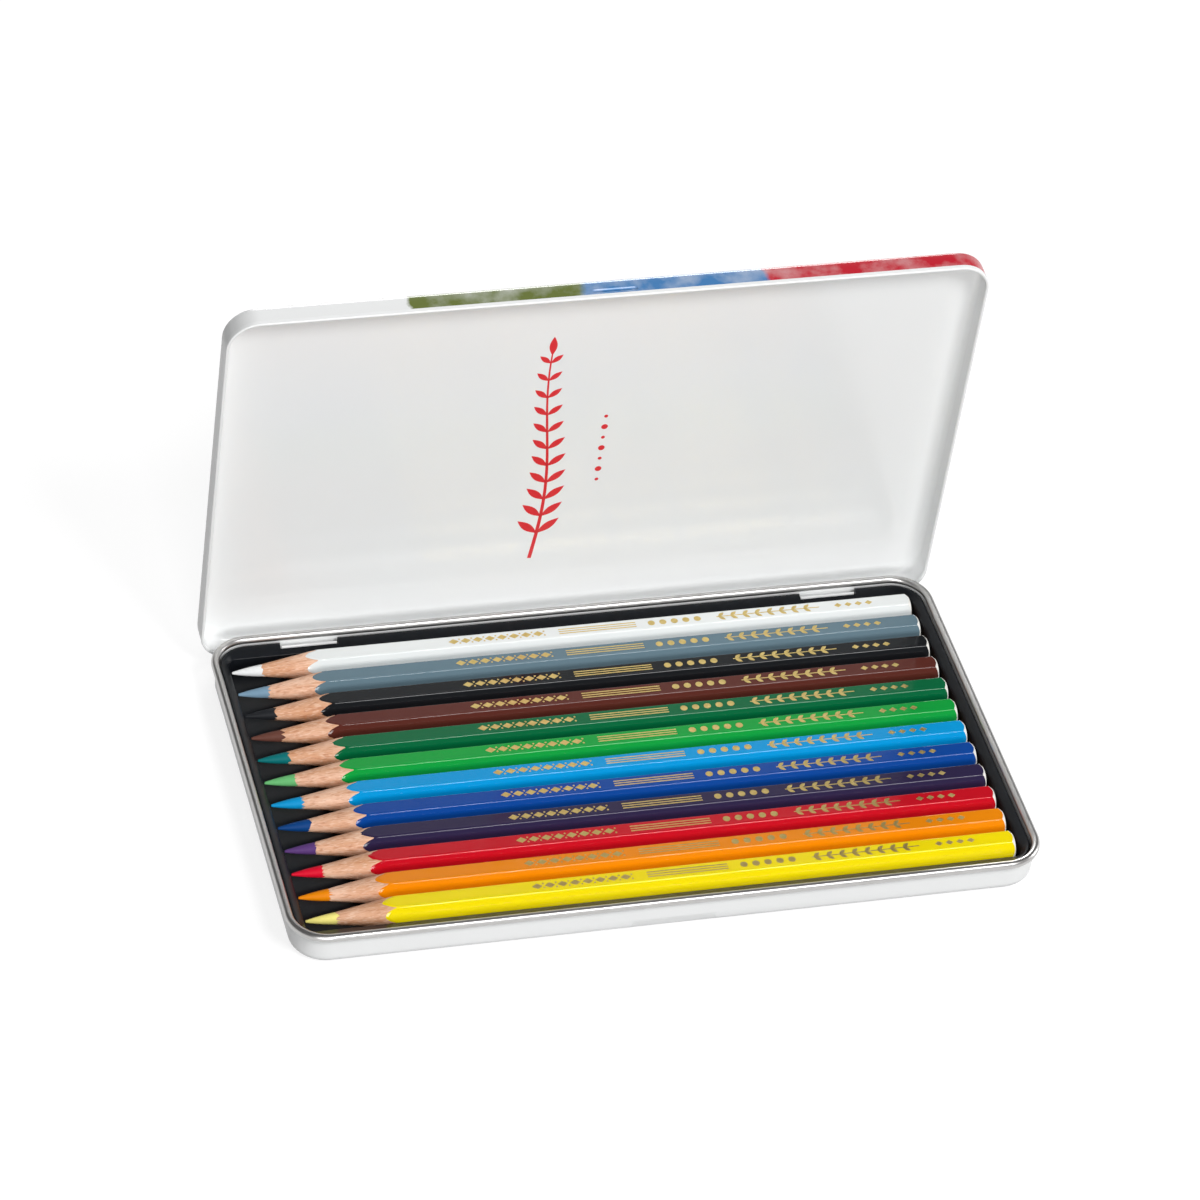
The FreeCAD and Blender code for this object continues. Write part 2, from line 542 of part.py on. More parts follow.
def make_lead():
    """The coloured core, pointed at one end and cut flat at the other."""
    body = doc.addObject("PartDesign::Body", "LeadMaster")
    sketch = new_sketch(body, "LeadProfile", "XZ_Plane")
    radius = f"{S}lead_diameter / 2"
    polygon(sketch, [("0", "0"), (f"{S}pencil_length", "0"), (f"{S}pencil_length", radius),
                     (f"{S}lead_showing", radius), ("0", f"{S}lead_tip")])
    turn(body, "Revolution", sketch)
    return body


def make_casing():
    """The cedar casing: a hexagonal bar bored for the lead and sharpened."""
    body = doc.addObject("PartDesign::Body", "CasingMaster")
    flats = f"{S}pencil_flats - 2 * {S}lacquer_coat"
    sketch = new_sketch(body, "CasingSection", "YZ_Plane")
    hexagon(sketch, flats)
    add(body, "Pad", sketch, f"{S}pencil_length")
    round_edges(body, "CasingEdges", hexagon_corners(flats), f"{S}pencil_edge - {S}lacquer_coat")
    bore = new_sketch(body, "Bore", "YZ_Plane")
    wide = number(f"{S}lead_diameter")
    ring = bore.addGeometry(Part.Circle(FreeCAD.Vector(), FreeCAD.Vector(0, 0, 1), wide / 2))
    bore.addConstraint(Sketcher.Constraint("Coincident", ring, 3, -1, 1))
    bind(bore, "bore", Sketcher.Constraint("Diameter", ring, wide), f"{S}lead_diameter")
    add(body, "Pocket", bore, f"{S}pencil_length", flip=True)
    sharpen(body, "CasingPoint")
    bevel_end(body, "CasingEnd")
    return body


def make_lacquer():
    """The lacquer coat on the casing, cut to scallops where the cone meets the facets."""
    body = doc.addObject("PartDesign::Body", "LacquerMaster")
    flats = f"{S}pencil_flats"
    casing_flats = f"{S}pencil_flats - 2 * {S}lacquer_coat"
    outer = new_sketch(body, "CoatSection", "YZ_Plane")
    hexagon(outer, flats)
    add(body, "Pad", outer, f"{S}pencil_length")
    round_edges(body, "CoatEdges", hexagon_corners(flats), f"{S}pencil_edge")
    inner = new_sketch(body, "CoatInside", "YZ_Plane")
    hexagon(inner, casing_flats)
    add(body, "Pocket", inner, f"{S}pencil_length", flip=True)
    round_edges(body, "CoatEdgesInside", hexagon_corners(casing_flats), f"{S}pencil_edge - {S}lacquer_coat")
    sharpen(body, "CoatPoint")
    bevel_end(body, "CoatEnd")
    return body


def place_pencils(masters):
    """One copy of each pencil piece for each colour, side by side from the hinge to the front."""
    placed = []
    for index, colour in enumerate(COLOURS):
        for piece, master in masters.items():
            link = doc.addObject("App::Link", f"{colour}_{piece}")
            link.LinkedObject = master
            link.setExpression("Placement.Base.x", f"-{RECESS_X} + {S}recess_tip_gap")
            link.setExpression("Placement.Base.y", f"{(COUNT - 1) / 2 - index} * {PENCIL_PITCH}")
            link.setExpression("Placement.Base.z", f"{PENCIL_SEAT} + {S}pencil_flats / 2")
            placed.append(link)
    return placed


shells = [make_base(), make_lid(), make_tray()]
pencils = place_pencils({"lead": make_lead(), "casing": make_casing(), "lacquer": make_lacquer()})
doc.recompute()

for thing in doc.Objects:
    if {"Invalid", "Error"} & set(thing.State):
        raise RuntimeError(f"{thing.Label} did not compute: {thing.State}")
os.makedirs("parts", exist_ok=True)
for piece in shells + pencils:
    shape = piece.Shape
    if shape.isNull() or not shape.isValid() or len(shape.Solids) != 1:
        raise RuntimeError(f"{piece.Label} is not one valid solid")
    shape.exportStep(f"parts/{piece.Label}.step")
    print(f"{piece.Label}: {shape.Volume:.2f} mm3")
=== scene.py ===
import json
import math
import random

import bmesh
import bpy
from mathutils import Matrix, Vector


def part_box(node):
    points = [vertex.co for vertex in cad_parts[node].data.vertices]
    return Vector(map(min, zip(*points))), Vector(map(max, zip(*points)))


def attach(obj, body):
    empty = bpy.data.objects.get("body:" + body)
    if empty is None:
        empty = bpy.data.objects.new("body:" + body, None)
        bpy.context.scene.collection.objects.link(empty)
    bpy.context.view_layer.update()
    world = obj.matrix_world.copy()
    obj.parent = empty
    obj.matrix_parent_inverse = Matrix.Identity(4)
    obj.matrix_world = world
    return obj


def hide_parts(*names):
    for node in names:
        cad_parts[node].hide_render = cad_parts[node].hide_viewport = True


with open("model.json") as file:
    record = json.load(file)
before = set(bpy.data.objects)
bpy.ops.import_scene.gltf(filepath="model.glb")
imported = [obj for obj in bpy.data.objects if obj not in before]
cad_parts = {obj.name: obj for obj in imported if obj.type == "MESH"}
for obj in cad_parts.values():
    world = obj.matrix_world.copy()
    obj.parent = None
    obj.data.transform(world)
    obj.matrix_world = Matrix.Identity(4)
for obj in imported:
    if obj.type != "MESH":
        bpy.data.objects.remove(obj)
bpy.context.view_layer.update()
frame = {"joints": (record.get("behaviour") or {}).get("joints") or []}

# Sizes in millimetres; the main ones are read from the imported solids
MM = 0.001


def node_box(node):
    """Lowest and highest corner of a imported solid, in millimetres."""
    low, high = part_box(node)
    return low / MM, high / MM


COLOURS = [
    "white", "slate", "black", "brown", "pine", "green",
    "sky", "blue", "violet", "red", "orange", "yellow",
]
base_high = node_box("base_shell")[1]
tray_low, tray_high = node_box("pencil_tray")
lid_high = node_box("lid_shell")[1]
hinge = next(joint for joint in frame["joints"] if joint["name"] == "lid_hinge")

# The drawn tinplate base and its rolled rim
TINPLATE = 0.3
CURL_RADIUS = 1.0
CURL_STANDOFF = 0.2
CURL_HEEL = 262.0
CURL_LIP = -60.0
WALL_X = base_high.x - CURL_RADIUS - CURL_STANDOFF
WALL_Y = base_high.y - CURL_RADIUS - CURL_STANDOFF
WALL_CORNER = 8.8
FOOT_RADIUS = 2.0
CURL_Z = base_high.z - CURL_RADIUS
SLOT_NEAR = 59.95
SLOT_FAR = 74.65
SLOT_LOW = 2.35
SLOT_HIGH = 3.35
SCOOP_HALF = 10.25
SCOOP_TOP = 3.2
SCOOP_DEPTH = 0.8
SCOOP_SIDE = 0.25

# The drawn lid, laid shut about its hinge line, then swung open
LID_X = lid_high.x
LID_FRONT = -109.608
LID_REAR = 3.4
LID_CORNER = 8.0
LID_RIM = 0.08
LID_TOP = 6.58
LID_EDGE = 1.6
HEM_THICK = 0.75
HEM_HIGH = 1.1
HEM_ROUND = 0.3
DIMPLE_HALF = 4.95
DIMPLE_RADIUS = 0.7
DIMPLE_STANDOFF = 0.32
DIMPLE_Z = 2.38
DIMPLE_REACH = DIMPLE_HALF + 1.0
TONGUE_X = 67.3
TONGUE_HALF = 7.0
TONGUE_RADIUS = 3.025
TONGUE_TOP = 12.0
TONGUE_END = -125.0
HINGE_Y = 54.0039
HINGE_Z = 5.78
LID_OPEN = math.radians(-min(hinge["range_deg"]))

# The formed tray
TRAY_X = tray_high.x
TRAY_Y = tray_high.y
TRAY_CORNER = 7.7
TRAY_SHEET = 0.5
TRAY_EDGE = 0.3
TRAY_LEDGE = tray_high.z
TRAY_SKIRT = 3.3
WELL_X = 88.5
WELL_Y = 48.834
WELL_CORNER = 2.4
WELL_FLOOR = 2.38
WELL_FOOT = tray_low.z
NOTCH_INSET = 1.82
LEDGE_LIP = 0.6
LEDGE_FALL = 1.3
RIDGE_FROM = -64.5
RIDGE_TO = 80.5
RIDGE_HIGH = 2.4
RIDGE_FOOT = 1.71
RIDGE_CREST = 0.325
RIDGE_BEVEL = 0.2
RIDGE_BEVEL_HIGH = 0.25
RIDGE_SUNK = 0.1

# The pencils
FLATS_HALF = 3.465
COAT = 0.15
COAT_EDGE = 0.6
CASING_EDGE = 0.3
LEAD_RADIUS = 1.475
LEAD_SHOWING = 7.2
TIP_RADIUS = 0.28
LEAD_SWELL = 0.12
CONE_SLOPE = (LEAD_RADIUS - TIP_RADIUS) / LEAD_SHOWING
LEAD_POINT = [(0.0, 0.12), (0.05, 0.23), (0.15, 0.31)]
LEAD_ROWS = [0.35, 0.7, 1.2, 2.0, 3.0, 4.0, 5.0, 6.0, LEAD_SHOWING]
LEAD_SHOULDER = 1.2
BORE_GAP = 0.0005
CHIP_START = 0.02
CHIP_TEETH = (13, 17)
CHIP_DEPTH = (0.2, 1.25)
TRIM_TEETH = (16, 22)
TRIM_DEPTH = (0.05, 0.55)
END_BEVEL = 1.3
END_SETBACK = 0.06
PRIMER_BAND = 0.1

# The marks on the pencils and inside the lid are plates, partly sunk in what they lie on
FOIL_FROM = 56.0
LOZENGE_PITCH = 3.1
LINES_FROM = FOIL_FROM + 27.0
LINES_LENGTH = 20.0
DOTS_FROM = FOIL_FROM + 51.0
DOT_PITCH = 3.0
GARLAND_FROM = FOIL_FROM + 68.0
GARLAND_LENGTH = 27.0
LEAF_PITCH = 3.2
LEAF_LEAN = 36
TAIL_FROM = GARLAND_FROM + 32.0
TAIL_PITCH = 2.7
MARK_SUNK = 0.02
MARK_PROUD = 0.012
SPRIG_SUNK = 0.03
SPRIG_X = -10.5
SPRIG_FOOT = 16.0
SPRIG_HIGH = 70.0
SPRIG_STEPS = 24

# How finely the pieces are drawn
CORNER_STEPS = 18
FILLET_STEPS = 6
BEND_STEPS = 8
EDGE_STEPS = 5
CURL_STEPS = (36, 40)
TONGUE_STEPS = 24
DIMPLE_ROWS = 11
DIMPLE_ROW = 0.1
DIMPLE_COLUMNS = 7
DIMPLE_COLUMN = 0.2
DIMPLE_MIDDLE = [-3.0, -1.5, 0.0, 1.5, 3.0]
LEAD_STEPS = 48
CASING_SHARES = (0.0, 0.2, 0.4, 0.6, 0.8, 1.0)
FALL_SHARES = (0.7, 0.85)
LEAST_CORNER = 0.02
CREASE_DEGREES = 33.0
FIRST_SEED = 400

# Rows beside a bend, which keep the flats next to it flat in the shading
GUARD = 0.6
EDGE_GUARD = 0.04
FRONT_GUARD = 0.3
PANEL_GUARD = 0.1
CURL_GUARD = 0.15
WALL_GUARD = 5.5
HEM_GUARD = 0.25
LIP_GUARD = 0.05
FALL_GUARD = 0.02
WELL_GUARD = 0.5
UNDER_GUARD = 1.0


class Skin:
    """Points, faces and finishes of one piece, in millimetres."""

    def __init__(self):
        self.points = []
        self.faces = []
        self.finishes = []

    def row(self, points):
        first = len(self.points)
        self.points.extend(Vector(point) for point in points)
        return list(range(first, len(self.points)))

    def face(self, corners, finish=0):
        self.faces.append(tuple(corners))
        self.finishes.append(finish)

    def band(self, a, b, finish=0, gaps=()):
        """Four-sided faces between two closed rows, apart from the columns in gaps."""
        count = len(a)
        for i in range(count):
            if i in gaps:
                continue
            j = (i + 1) % count
            self.face((a[i], a[j], b[j], b[i]), finish)

    def plate(self, low, high):
        """A thin closed plate between two like outlines."""
        under = self.row(low)
        over = self.row(high)
        self.band(under, over)
        self.face(over)
        self.face(list(reversed(under)))


def make_piece(name, skin, body, finishes, replaced=()):
    """A mesh object from a skin, which rides on a body and stands for the solids that it replaces."""
    mesh = bpy.data.meshes.new(name)
    mesh.from_pydata([point * MM for point in skin.points], [], skin.faces)
    for finish in finishes:
        mesh.materials.append(finish)
    mesh.polygons.foreach_set("material_index", skin.finishes)
    sheet = bmesh.new()
    sheet.from_mesh(mesh)
    bmesh.ops.recalc_face_normals(sheet, faces=sheet.faces)
    sheet.to_mesh(mesh)
    sheet.free()
    mesh.shade_smooth()
    mesh.set_sharp_from_angle(angle=math.radians(CREASE_DEGREES))
    piece = bpy.data.objects.new(name, mesh)
    bpy.context.scene.collection.objects.link(piece)
    if replaced:
        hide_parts(*replaced)
    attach(piece, body)


def arc(centre, radius, start, end, steps=FILLET_STEPS):
    """Points of a section along an arc, in degrees."""
    turns = [math.radians(start + (end - start) * i / steps) for i in range(steps + 1)]
    return [(centre[0] + radius * math.cos(t), centre[1] + radius * math.sin(t)) for t in turns]


def rounded_loop(half_x, front, rear, corner, outset=0.0, front_cuts=(), rear_cuts=()):
    """A closed row round a rectangle with round corners, as (x, y), from the left of its front side.
    The guard points beside each corner keep the flats next to it flat in the shading."""
    turn = max(corner + outset, LEAST_CORNER)
    flat = half_x - corner
    low = front + corner
    high = rear - corner
    row = [(x, front - outset) for x in sorted([-flat + GUARD, flat - GUARD, *front_cuts])]
    row += arc((flat, low), turn, -90, 0, CORNER_STEPS)
    row += [(half_x + outset, low + GUARD), (half_x + outset, high - GUARD)]
    row += arc((flat, high), turn, 0, 90, CORNER_STEPS)
    row += [(x, rear + outset) for x in sorted([-flat + GUARD, flat - GUARD, *rear_cuts], reverse=True)]
    row += arc((-flat, high), turn, 90, 180, CORNER_STEPS)
    row += [(-half_x - outset, high - GUARD), (-half_x - outset, low + GUARD)]
    row += arc((-flat, low), turn, 180, 270, CORNER_STEPS)
    return row


def linear(hex_colour):
    """Scene-linear colour of an sRGB hex value."""
    values = [int(hex_colour[i:i + 2], 16) / 255 for i in (1, 3, 5)]
    return tuple(v / 12.92 if v <= 0.04045 else ((v + 0.055) / 1.055) ** 2.4 for v in values) + (1.0,)


def per(size):
    """Texture scale whose features are about that many millimetres wide."""
    return 1.0 / (size * MM)


def put(tree, kind, inputs=None, **settings):
    """Adds a node with its settings, and links or sets its inputs."""
    node = tree.nodes.new("ShaderNode" + kind)
    for name, value in settings.items():
        setattr(node, name, value)
    for name, value in (inputs or {}).items():
        if isinstance(value, bpy.types.NodeSocket):
            tree.links.new(value, node.inputs[name])
        else:
            node.inputs[name].default_value = value
    return node


def new_finish(name, roughness, metallic=0.0, ior=1.5, gloss=0.5):
    """A material with its node tree, its shader and the piece's own coordinates."""
    finish = bpy.data.materials.new(name)
    finish.use_nodes = True
    tree = finish.node_tree
    shader = tree.nodes["Principled BSDF"]
    shader.inputs["Roughness"].default_value = roughness
    shader.inputs["Metallic"].default_value = metallic
    if metallic < 0.5:
        shader.inputs["IOR"].default_value = ior
        shader.inputs["Specular IOR Level"].default_value = gloss
    place = put(tree, "TexCoord").outputs["Object"]
    return finish, tree, shader, place


def white_stove_lacquer():
    """White lacquer baked on tinplate: a clean white with a soft gloss and a faint orange peel."""
    finish, tree, shader, place = new_finish("white_stove_lacquer_on_tinplate", 0.18)
    cloud = put(tree, "TexNoise", {"Vector": place, "Scale": per(34.0), "Detail": 2.0})
    tone = put(tree, "Mix", {
        0: cloud.outputs[0], 6: linear("#F2F3F3"), 7: linear("#F7F8F8")}, data_type="RGBA")
    tree.links.new(tone.outputs[2], shader.inputs["Base Color"])
    peel = put(tree, "TexNoise", {"Vector": place, "Scale": per(1.1), "Detail": 1.0})
    bump = put(tree, "Bump", {"Height": peel.outputs[0], "Strength": 0.10, "Distance": 0.01 * MM})
    tree.links.new(bump.outputs[0], shader.inputs["Normal"])
    return finish


def bare_tinplate():
    """Tin on steel, rolled into the rim: a grey, bright metal with fine drawing lines and a satin sheen."""
    finish, tree, shader, place = new_finish("bare_rolled_tinplate", 0.34, metallic=1.0)
    smear = put(tree, "TexNoise", {"Vector": place, "Scale": per(2.6), "Detail": 3.0})
    tone = put(tree, "Mix", {
        0: smear.outputs[0], 6: linear("#B4B2B0"), 7: linear("#C6C5C4")}, data_type="RGBA")
    tree.links.new(tone.outputs[2], shader.inputs["Base Color"])
    dull = put(tree, "MapRange", {"Value": smear.outputs[0], "To Min": 0.28, "To Max": 0.40})
    tree.links.new(dull.outputs[0], shader.inputs["Roughness"])
    return finish


def printed_lacquer():
    """The lid's outside: colours printed on white lacquer as soft washes with uneven edges."""
    finish, tree, shader, place = new_finish("printed_stove_lacquer_on_tinplate", 0.26)
    axis = put(tree, "SeparateXYZ", {"Vector": place})
    drift = put(tree, "TexNoise", {"Vector": place, "Scale": per(16.0), "Detail": 5.0, "Roughness": 0.6})
    sway = put(tree, "Math", {0: drift.outputs[0], 1: -0.5}, operation="ADD")
    along = put(tree, "Math", {
        0: sway.outputs[0], 1: 9.0 * MM, 2: axis.outputs["X"]}, operation="MULTIPLY_ADD")
    ground = linear("#F0F1F1")
    paint = ground
    washes = [(-50.0, 0.5, "#66732F"), (-8.0, 0.8, "#3F7DB8"), (38.0, 0.6, "#C4122A")]
    for start, blend, shade in washes:
        edge = put(tree, "MapRange", {
            "Value": along.outputs[0], "From Min": (start - blend) * MM, "From Max": (start + blend) * MM})
        wash = put(tree, "Mix", {0: edge.outputs[0], 6: paint, 7: linear(shade)}, data_type="RGBA")
        paint = wash.outputs[2]
    pool = put(tree, "TexNoise", {"Vector": place, "Scale": per(9.0), "Detail": 6.0, "Roughness": 0.55})
    thin = put(tree, "MapRange", {
        "Value": pool.outputs[0], "From Min": 0.45, "From Max": 0.80, "To Max": 0.55})
    soft = put(tree, "Mix", {0: thin.outputs[0], 6: paint, 7: ground}, data_type="RGBA")
    fade = put(tree, "MapRange", {
        "Value": axis.outputs["Z"], "From Min": 62.0 * MM, "From Max": 100.0 * MM},
        interpolation_type="SMOOTHSTEP")
    panel = put(tree, "Mix", {0: fade.outputs[0], 6: ground, 7: soft.outputs[2]}, data_type="RGBA")
    tree.links.new(panel.outputs[2], shader.inputs["Base Color"])
    return finish


def black_polystyrene():
    """Vacuum-formed black polystyrene sheet: near black with a bluish satin sheen and a faint pebble."""
    finish, tree, shader, place = new_finish("black_formed_polystyrene", 0.28, gloss=0.2)
    dust = put(tree, "TexNoise", {"Vector": place, "Scale": per(3.0), "Detail": 4.0})
    tone = put(tree, "Mix", {
        0: dust.outputs[0], 6: linear("#0D0F12"), 7: linear("#181B20")}, data_type="RGBA")
    tree.links.new(tone.outputs[2], shader.inputs["Base Color"])
    pebble = put(tree, "TexNoise", {"Vector": place, "Scale": per(0.5), "Detail": 2.0})
    bump = put(tree, "Bump", {"Height": pebble.outputs[0], "Strength": 0.25, "Distance": 0.02 * MM})
    tree.links.new(bump.outputs[0], shader.inputs["Normal"])
    return finish


def sharpened_cedar():
    """Incense cedar cut by a sharpener: pinkish tan, with darker latewood streaks and short pale flecks
    painted in as glints on the cut fibres.
    The fibres are drawn about 0.4 mm wide, coarser than real ones, so that they show."""
    finish, tree, shader, place = new_finish("sharpened_incense_cedar", 0.62)
    grain = put(tree, "Mapping", {"Vector": place, "Scale": (0.09, 1.0, 1.0)})
    warm = put(tree, "TexNoise", {"Vector": grain.outputs[0], "Scale": per(2.2), "Detail": 3.0})
    plank = put(tree, "TexNoise", {"Vector": place, "Scale": per(13.0), "Detail": 0.0})
    share = put(tree, "Math", {0: warm.outputs[0], 1: plank.outputs[0]}, operation="ADD")
    spread = put(tree, "MapRange", {"Value": share.outputs[0], "From Min": 0.7, "From Max": 1.3})
    tone = put(tree, "Mix", {
        0: spread.outputs[0], 6: linear("#D29870"), 7: linear("#ECC0A4")}, data_type="RGBA")
    fibre = put(tree, "TexNoise", {"Vector": grain.outputs[0], "Scale": per(0.4), "Detail": 3.0})
    streak = put(tree, "MapRange", {
        "Value": fibre.outputs[0], "From Min": 0.50, "From Max": 0.68, "To Max": 0.6})
    dark = put(tree, "Mix", {
        0: streak.outputs[0], 6: tone.outputs[2], 7: linear("#B06A40")}, data_type="RGBA")
    # Painted highlight: short near-white flecks on the cut wood stand in for glints on the cut fibres
    fleck = put(tree, "Mapping", {
        "Vector": place, "Scale": (0.13, 1.0, 1.0), "Location": (3.0, 1.0, 2.0)})
    grit = put(tree, "TexNoise", {"Vector": fleck.outputs[0], "Scale": per(0.3), "Detail": 1.0})
    painted_glint = put(tree, "MapRange", {
        "Value": grit.outputs[0], "From Min": 0.52, "From Max": 0.70, "To Max": 0.4})
    pale = put(tree, "Mix", {
        0: painted_glint.outputs[0], 6: dark.outputs[2], 7: linear("#F8DCC4")}, data_type="RGBA")
    tree.links.new(pale.outputs[2], shader.inputs["Base Color"])
    bump = put(tree, "Bump", {"Height": fibre.outputs[0], "Strength": 0.35, "Distance": 0.05 * MM})
    tree.links.new(bump.outputs[0], shader.inputs["Normal"])
    return finish


def pigment_lead(colour, shade):
    """Bound pigment cut to a cone: matt and slightly grainy, with a soft rub where the cutter dragged."""
    finish, tree, shader, place = new_finish(colour + "_pigment_lead", 0.5, gloss=0.1)
    full = linear(shade)
    low = tuple(c * 0.86 for c in full[:3]) + (1.0,)
    rub = put(tree, "TexNoise", {"Vector": place, "Scale": per(0.7), "Detail": 4.0})
    tone = put(tree, "Mix", {0: rub.outputs[0], 6: low, 7: full}, data_type="RGBA")
    tree.links.new(tone.outputs[2], shader.inputs["Base Color"])
    bump = put(tree, "Bump", {"Height": rub.outputs[0], "Strength": 0.3, "Distance": 0.05 * MM})
    tree.links.new(bump.outputs[0], shader.inputs["Normal"])
    return finish


def pencil_lacquer(colour, shade):
    """Several dipped coats of pencil lacquer: deep even colour with a clear gloss and a slow waviness."""
    finish, tree, shader, place = new_finish(colour + "_dipped_lacquer", 0.08, ior=1.48, gloss=0.26)
    full = linear(shade)
    low = tuple(c * 0.93 for c in full[:3]) + (1.0,)
    length = put(tree, "Mapping", {"Vector": place, "Scale": (0.2, 1.0, 1.0)})
    coat = put(tree, "TexNoise", {"Vector": length.outputs[0], "Scale": per(3.0), "Detail": 2.0})
    tone = put(tree, "Mix", {0: coat.outputs[0], 6: low, 7: full}, data_type="RGBA")
    tree.links.new(tone.outputs[2], shader.inputs["Base Color"])
    bump = put(tree, "Bump", {"Height": coat.outputs[0], "Strength": 0.15, "Distance": 0.03 * MM})
    tree.links.new(bump.outputs[0], shader.inputs["Normal"])
    return finish


def plain_finish(name, low, high, size, roughness, metallic=0.0):
    """A finish with one soft mottle between two shades."""
    finish, tree, shader, place = new_finish(name, roughness, metallic)
    mottle = put(tree, "TexNoise", {"Vector": place, "Scale": per(size), "Detail": 3.0})
    tone = put(tree, "Mix", {0: mottle.outputs[0], 6: linear(low), 7: linear(high)}, data_type="RGBA")
    tree.links.new(tone.outputs[2], shader.inputs["Base Color"])
    return finish


WHITE_TIN = white_stove_lacquer()
BARE_TIN = bare_tinplate()
PRINTED_TIN = printed_lacquer()
TRAY_PLASTIC = black_polystyrene()
CEDAR = sharpened_cedar()
# Hot-stamped metallic foil: a pale gold that flashes against the lacquer
GOLD_FOIL = plain_finish("hot_stamped_gold_foil", "#CDB063", "#E6D08F", 0.8, 0.38, 1.0)
# Offset ink on the lid's inside: an even, slightly glossy red
RED_INK = plain_finish("red_offset_ink", "#DE2430", "#E83038", 2.0, 0.35)
# The pale ground under the dipped coats, laid bare where the flat end is trimmed
PRIMER = plain_finish("white_primer", "#E6E4DE", "#F2F1EC", 0.8, 0.5)
SHADES = {
    "white": ("#E8EBEA", "#F2F4F4"),
    "slate": ("#647C88", "#7D9DB4"),
    "black": ("#191B1E", "#232529"),
    "brown": ("#5B2A22", "#6A4238"),
    "pine": ("#04663C", "#0A7376"),
    "green": ("#109E3E", "#6CBD76"),
    "sky": ("#0498D8", "#0C98D4"),
    "blue": ("#0B469A", "#0C4384"),
    "violet": ("#2E2547", "#5E3D7C"),
    "red": ("#C40D20", "#E00F30"),
    "orange": ("#EC8804", "#EE8A04"),
    "yellow": ("#F5DE04", "#FBEE88"),
}


def make_base():
    """The base as one sheet: floor, foot, wall, rolled rim and back down inside."""
    foot = (-FOOT_RADIUS, FOOT_RADIUS)
    slot_levels = (SLOT_LOW, SCOOP_TOP, SLOT_HIGH)
    wall_levels = [*slot_levels, WALL_GUARD]
    curl = (CURL_STANDOFF, CURL_Z)
    joint_out = CURL_Z - math.sqrt(CURL_RADIUS ** 2 - CURL_STANDOFF ** 2)
    joint_in = CURL_Z - math.sqrt(CURL_RADIUS ** 2 - (CURL_STANDOFF + TINPLATE) ** 2)
    inner_turn = 180 + math.degrees(math.acos((CURL_STANDOFF + TINPLATE) / CURL_RADIUS))
    section = [(-FOOT_RADIUS - PANEL_GUARD, 0.0, 0)]
    section += [(u, z, 0) for u, z in arc(foot, FOOT_RADIUS, -90, 0, BEND_STEPS)]
    section += [(0.0, z, 0) for z in wall_levels]
    section += [(0.0, joint_out, 0)]
    inside = arc(curl, CURL_RADIUS - TINPLATE, CURL_HEEL, CURL_LIP, CURL_STEPS[0])
    outside = arc(curl, CURL_RADIUS, CURL_LIP, inner_turn, CURL_STEPS[1])
    section += [(u, z, 1) for u, z in inside + outside]
    section += [(-TINPLATE, joint_in - CURL_GUARD, 0)]
    section += [(-TINPLATE, z, 0) for z in reversed(wall_levels)]
    section += [(u, z, 0) for u, z in arc(foot, FOOT_RADIUS - TINPLATE, 0, -90, BEND_STEPS)]
    section += [(-FOOT_RADIUS - PANEL_GUARD, TINPLATE, 0)]
    front_cuts = [side * (SCOOP_HALF + past) for side in (-1, 1) for past in (-SCOOP_SIDE, SCOOP_SIDE)]
    front_cuts.append(0.0)
    rear_cuts = [-SLOT_FAR, -SLOT_NEAR, SLOT_NEAR, SLOT_FAR]
    skin = Skin()
    rows = []
    for outset, z, finish in section:
        loop = rounded_loop(WALL_X, -WALL_Y, WALL_Y, WALL_CORNER, outset, front_cuts, rear_cuts)
        # Inside the scoop the wall follows a slope, where that lies further in than the rounded foot
        rise = max(FOOT_RADIUS - z, 0.0)
        rounded = FOOT_RADIUS - math.sqrt(max(FOOT_RADIUS ** 2 - rise ** 2, 0.0))
        press = max(SCOOP_DEPTH * (1 - z / SCOOP_TOP) - rounded, 0.0)
        if -FOOT_RADIUS <= outset <= 0.0 and z < SCOOP_TOP:
            loop = [(x, y + press) if y < 0 and abs(x) < SCOOP_HALF else (x, y) for x, y in loop]
        rows.append(skin.row([(x, y, z) for x, y in loop]))
    loop = rounded_loop(WALL_X, -WALL_Y, WALL_Y, WALL_CORNER, 0.0, front_cuts, rear_cuts)
    slot_columns = [i for i, (x, y) in enumerate(loop) if y == WALL_Y and x in (SLOT_FAR, -SLOT_NEAR)]
    slot_rows = [i for i in range(len(section) - 1)
                 if section[i][1] in slot_levels and section[i + 1][1] in slot_levels]
    for i in range(len(rows) - 1):
        gaps = slot_columns if i in slot_rows else ()
        skin.band(rows[i], rows[i + 1], min(section[i][2], section[i + 1][2]), gaps)
    skin.face(list(reversed(rows[0])))
    skin.face(rows[-1])
    # The cut faces of the slots join the wall's outer and inner rows
    outer = [row for row, (u, z, finish) in zip(rows, section) if u == 0.0 and z in slot_levels]
    inner = [row for row, (u, z, finish) in zip(rows, section) if u == -TINPLATE and z in slot_levels]
    inner.reverse()
    for column in slot_columns:
        for a, b in ((0, 1), (1, 2)):
            for side in (column, column + 1):
                skin.face((outer[a][side], outer[b][side], inner[b][side], inner[a][side]))
        for level in (0, 2):
            skin.face((outer[level][column], outer[level][column + 1],
                       inner[level][column + 1], inner[level][column]))
    make_piece("tin_base", skin, "tin", [WHITE_TIN, BARE_TIN], ["base_shell"])


def swing(x, y, z):
    """A point of the lid, given from the hinge line with the lid shut, where it lies with the lid open."""
    c = math.cos(LID_OPEN)
    s = math.sin(LID_OPEN)
    return (x, HINGE_Y + y * c + z * s, HINGE_Z - y * s + z * c)


def dimple_press(x, z, radius):
    """How far the snap dimple's ball-ended groove reaches in from the lid's front face."""
    past = max(abs(x) - DIMPLE_HALF, 0.0)
    apart = math.hypot(past, z - DIMPLE_Z)
    if apart >= radius:
        return 0.0
    return max(math.sqrt(radius ** 2 - apart ** 2) - DIMPLE_STANDOFF, 0.0)


